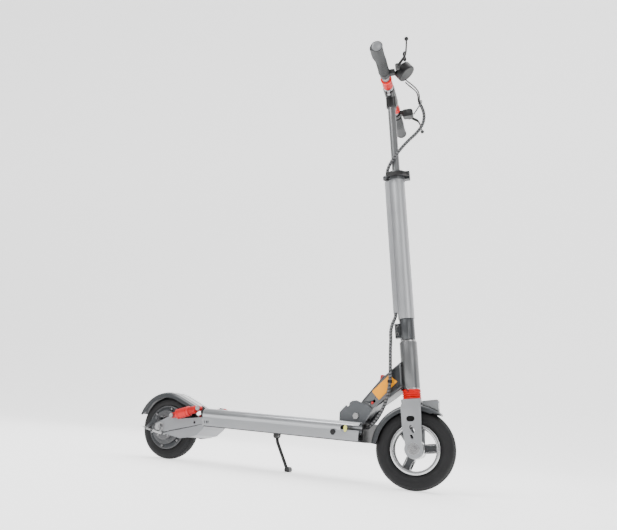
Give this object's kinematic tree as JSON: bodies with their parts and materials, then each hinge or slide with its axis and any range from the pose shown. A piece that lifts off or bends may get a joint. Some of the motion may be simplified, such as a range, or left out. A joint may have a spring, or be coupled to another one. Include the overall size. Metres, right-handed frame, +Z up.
{
  "type": "electric kick scooter",
  "caption": "Folding electric kick scooter with hub motor rear wheel, telescopic steering column, folding bars, sprung fork and rear swingarm.",
  "frame": {"origin": "on the ground, under the middle of the wheelbase, in the middle of the deck", "axes": "+X towards the front wheel, +Y to the rider's left, +Z up"},
  "size_m": [1.0256, 0.5768, 1.2196],
  "materials": {
    "satin_aluminium": "satin, fine brushed silver",
    "mat_rubber": "black rubber grip mat",
    "black_plastic": "matt moulded plastic",
    "black_paint": "satin black powder coat",
    "gunmetal": "dark grey metallic coat",
    "hinge_grey": "medium grey satin coat",
    "battery_wrap": "blue shrink wrap",
    "reflector_amber": "prismatic yellow-green reflector",
    "steel_bright": "zinc plated steel",
    "steel_dark": "blackened steel",
    "fender_gloss": "gloss grey moulded plastic",
    "red_anodised": "red anodised",
    "red_rubber": "red moulded rubber",
    "red_plastic": "red lamp plastic",
    "lamp_glass": "clear ribbed lens",
    "tyre_rubber": "tyre rubber with fine tread",
    "motor_grey": "grey cast cover",
    "rim_alloy": "cast rim, machined edge",
    "grip_rubber": "dark grey grip rubber",
    "loom_wrap": "spiral wrap over black cable",
    "cable_black": "black cable jacket"
  },
  "bodies": {
    "deck": {"deck_frame": "satin_aluminium", "foot_mat": "mat_rubber", "deck_bottom_cover": "black_paint", "deck_front_block": "black_plastic", "deck_rear_block": "black_paint", "battery_pack": "battery_wrap", "controller": "steel_dark", "side_reflectors": "reflector_amber", "hinge_plates": "hinge_grey", "frame_bolts": "steel_bright"},
    "charge_cap": {"charge_port_cap": "black_plastic"},
    "kickstand": {"kickstand_leg": "black_paint"},
    "swingarm": {"swingarm": "satin_aluminium", "tail_guard": "satin_aluminium", "rear_fender": "fender_gloss", "tail_light": "red_plastic", "rear_axle": "steel_bright", "brake_plate": "satin_aluminium", "cable_adjuster": "steel_bright", "shock_lower_bolts": "steel_bright"},
    "brake_arm": {"brake_arm": "steel_bright"},
    "rear_wheel": {"rear_tyre": "tyre_rubber", "hub_motor": "motor_grey"},
    "shock_rod": {"shock_rods": "red_anodised"},
    "shock_body": {"shock_bodies": "red_anodised"},
    "neck": {"neck_frame": "gunmetal", "headset_cups": "satin_aluminium", "lower_loom": "loom_wrap", "lamp_wire": "cable_black"},
    "fold_lever": {"fold_lever": "red_anodised"},
    "latch": {"latch_pin": "red_anodised"},
    "steerer": {"steerer_tube": "steel_dark", "stem_clamp": "gunmetal", "clamp_bolts": "steel_dark", "outer_column": "satin_aluminium", "qr_collar": "gunmetal"},
    "qr_lever": {"qr_lever": "satin_aluminium"},
    "fork": {"fork": "satin_aluminium", "bellows": "red_rubber", "front_fender": "fender_gloss", "headlamp": "black_plastic", "headlamp_lens": "lamp_glass", "front_axle": "steel_bright"},
    "front_wheel": {"front_tyre": "tyre_rubber", "front_rim": "rim_alloy"},
    "column": {"inner_column": "gunmetal", "bar_block": "black_paint", "upper_loom": "loom_wrap", "control_cables": "cable_black"},
    "bar_right": {"handlebar_right": "satin_aluminium", "grip_right": "grip_rubber", "control_pod_right": "black_plastic"},
    "bar_left": {"handlebar_left": "satin_aluminium", "grip_left": "grip_rubber", "control_pod_left": "black_plastic"},
    "sleeve_right": {"lock_sleeve_right": "red_anodised"},
    "sleeve_left": {"lock_sleeve_left": "red_anodised"},
    "brake_lever_right": {"brake_lever_right": "black_paint"},
    "brake_lever_left": {"brake_lever_left": "satin_aluminium"},
    "throttle": {"throttle_trigger": "black_plastic"}
  },
  "joints": [
    {"name": "stem_fold", "type": "hinge", "parent": "deck", "child": "neck", "pos_m": [0.2407, 0, 0.1824], "axis": [0, -1, 0], "range_deg": [0, 81.6], "deforming": ["lower_loom"]},
    {"name": "steering", "type": "hinge", "parent": "neck", "child": "steerer", "pos_m": [0.4075, 0, 0.108], "axis": [-0.1461, 0, 0.9893], "range_deg": [-58.5, 31.5], "deforming": ["lower_loom", "lamp_wire"]},
    {"name": "fork_travel", "type": "slide", "parent": "steerer", "child": "fork", "axis": [-0.1461, 0, 0.9893], "range_m": [0, 0.01], "stiffness_N_per_m": 9000, "springref_m": -0.012, "deforming": ["bellows", "lamp_wire"]},
    {"name": "front_wheel_spin", "type": "hinge", "parent": "fork", "child": "front_wheel", "pos_m": [0.4075, 0, 0.108], "axis": [-0.2309, 0.9724, -0.0341], "continuous": true},
    {"name": "column_height", "type": "slide", "parent": "steerer", "child": "column", "axis": [-0.1461, 0, 0.9893], "range_m": [-0.21, 0], "deforming": ["upper_loom"]},
    {"name": "height_lever_swing", "type": "hinge", "parent": "steerer", "child": "qr_lever", "pos_m": [0.32836, -0.0098, 0.89235], "axis": [-0.1461, 0, 0.9893], "range_deg": [0, 120]},
    {"name": "right_bar_fold", "type": "hinge", "parent": "column", "child": "bar_right", "pos_m": [0.26778, -0.04862, 1.1341], "axis": [0.9619, 0.2334, 0.142], "range_deg": [0, 88], "deforming": ["control_cables"]},
    {"name": "left_bar_fold", "type": "hinge", "parent": "column", "child": "bar_left", "pos_m": [0.24468, 0.04862, 1.13069], "axis": [-0.9619, -0.2334, -0.142], "range_deg": [0, 88], "deforming": ["control_cables"]},
    {"name": "right_sleeve_slide", "type": "slide", "parent": "bar_right", "child": "sleeve_right", "axis": [0.2309, -0.9724, 0.0341], "range_m": [0, 0.014]},
    {"name": "left_sleeve_slide", "type": "slide", "parent": "bar_left", "child": "sleeve_left", "axis": [-0.2309, 0.9724, -0.0341], "range_m": [0, 0.014]},
    {"name": "right_brake_pull", "type": "hinge", "parent": "bar_right", "child": "brake_lever_right", "pos_m": [0.32747, -0.1443, 1.16869], "axis": [0.1461, 0, -0.9893], "range_deg": [0, 18], "stiffness_Nm_per_rad": 0.6, "springref_deg": -14.32},
    {"name": "left_brake_pull", "type": "hinge", "parent": "bar_left", "child": "brake_lever_left", "pos_m": [0.25566, 0.16297, 1.15], "axis": [-0.1461, 0, 0.9893], "range_deg": [0, 18], "stiffness_Nm_per_rad": 0.6, "springref_deg": -14.32},
    {"name": "throttle_press", "type": "hinge", "parent": "bar_right", "child": "throttle", "pos_m": [0.34328, -0.13138, 1.19528], "axis": [-0.2309, 0.9724, -0.0341], "range_deg": [-18, 0], "stiffness_Nm_per_rad": 0.05, "springref_deg": 11.46},
    {"name": "brake_arm_swing", "type": "hinge", "parent": "swingarm", "child": "brake_arm", "pos_m": [-0.4145, 0, 0.1227], "axis": [0, -1, 0], "range_deg": [0, 9]},
    {"name": "rear_suspension", "type": "hinge", "parent": "deck", "child": "swingarm", "pos_m": [-0.2445, 0, 0.1304], "axis": [0, 1, 0], "range_deg": [0, 6], "stiffness_Nm_per_rad": 450, "springref_deg": -6.88},
    {"name": "shock_swing", "type": "hinge", "parent": "deck", "child": "shock_rod", "pos_m": [-0.2617, 0, 0.1635], "axis": [0, 1, 0], "range_deg": [0, 6.7]},
    {"name": "shock_stroke", "type": "slide", "parent": "shock_rod", "child": "shock_body", "axis": [0.9568, 0, 0.2908], "range_m": [0, 0.004]},
    {"name": "rear_wheel_spin", "type": "hinge", "parent": "swingarm", "child": "rear_wheel", "pos_m": [-0.4075, 0, 0.097], "axis": [0, 1, 0], "continuous": true},
    {"name": "kickstand_swing", "type": "hinge", "parent": "deck", "child": "kickstand", "pos_m": [-0.063, 0.072, 0.1045], "axis": [0, 1, 0], "range_deg": [0, 88]},
    {"name": "charge_cap_swing", "type": "hinge", "parent": "deck", "child": "charge_cap", "pos_m": [0.197, -0.0883, 0.1255], "axis": [1, 0, 0], "range_deg": [0, 100]},
    {"name": "fold_lever_pull", "type": "hinge", "parent": "neck", "child": "fold_lever", "pos_m": [0.2577, 0, 0.2398], "axis": [0, -1, 0], "range_deg": [0, 20], "stiffness_Nm_per_rad": 0.5, "springref_deg": -8.59},
    {"name": "latch_slide", "type": "slide", "parent": "neck", "child": "latch", "axis": [0.7314, 0, 0.682], "range_m": [-0.0002, 0.0072]}
  ],
  "couplings": [
    {"joint": "brake_arm_swing", "follows": "left_brake_pull", "ratio": 0.45},
    {"joint": "shock_swing", "follows": "rear_suspension", "ratio": 1.09},
    {"joint": "shock_stroke", "follows": "rear_suspension", "m_per_rad": 0.0363},
    {"joint": "latch_slide", "follows": "fold_lever_pull", "m_per_rad": 0.0195}
  ]
}
